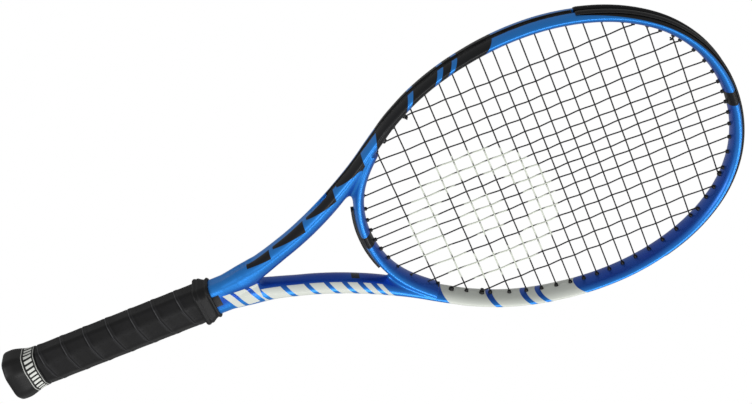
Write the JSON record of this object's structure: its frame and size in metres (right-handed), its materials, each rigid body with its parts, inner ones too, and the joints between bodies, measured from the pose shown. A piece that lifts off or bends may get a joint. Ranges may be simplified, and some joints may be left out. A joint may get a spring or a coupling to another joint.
{
  "type": "tennis racket",
  "caption": "Full-size composite tennis racket: oval strung head, open throat bridged under the strings, eight-sided cushioned grip with rubber collar and flared butt cap.",
  "frame": {"origin": "under the middle of the racket's length, on the plane that its butt cap rests on", "axes": "+X from the butt cap to the tip, +Y across the head, +Z normal to the strings"},
  "size_m": [0.6862, 0.2689, 0.0368],
  "materials": {
    "frame_paint": "carbon composite under metallic blue lacquer with dark and pale blocks, clear coat",
    "bridge_paint": "the same lacquer",
    "grommet_nylon": "moulded black nylon",
    "bumper_nylon": "moulded black nylon",
    "string": "black polyester monofilament",
    "collar_rubber": "matt black rubber",
    "tape": "woven tape",
    "grip": "embossed synthetic leather",
    "pallet_foam": "rigid foam",
    "cap_plastic": "moulded black nylon",
    "door_plastic": "moulded black nylon",
    "staple_steel": "zinc-plated steel wire",
    "weight_metal": "dull metal strip"
  },
  "bodies": {
    "racket": {"frame_hairpin": "frame_paint", "throat_bridge": "bridge_paint", "head_bumper": "bumper_nylon", "grommet_strip_left": "grommet_nylon", "grommet_strip_right": "grommet_nylon", "bridge_grommet_strip": "grommet_nylon", "main_strings": "string", "cross_strings": "string", "finishing_tape": "tape", "grip_wrap": "grip", "handle_pallet_upper": "pallet_foam", "handle_pallet_lower": "pallet_foam", "butt_cap": "cap_plastic", "butt_cap_staples": "staple_steel", "grip_start_staple": "staple_steel", "balance_weight": "weight_metal"},
    "collar": {"rubber_collar": "collar_rubber"},
    "door": {"trap_door": "door_plastic"}
  },
  "joints": [
    {"name": "collar_slide", "type": "slide", "parent": "racket", "child": "collar", "axis": [1, 0, 0], "range_m": [0, 0.01]},
    {"name": "door_slide", "type": "slide", "parent": "racket", "child": "door", "axis": [-1, 0, 0], "range_m": [0, 0.02]}
  ]
}
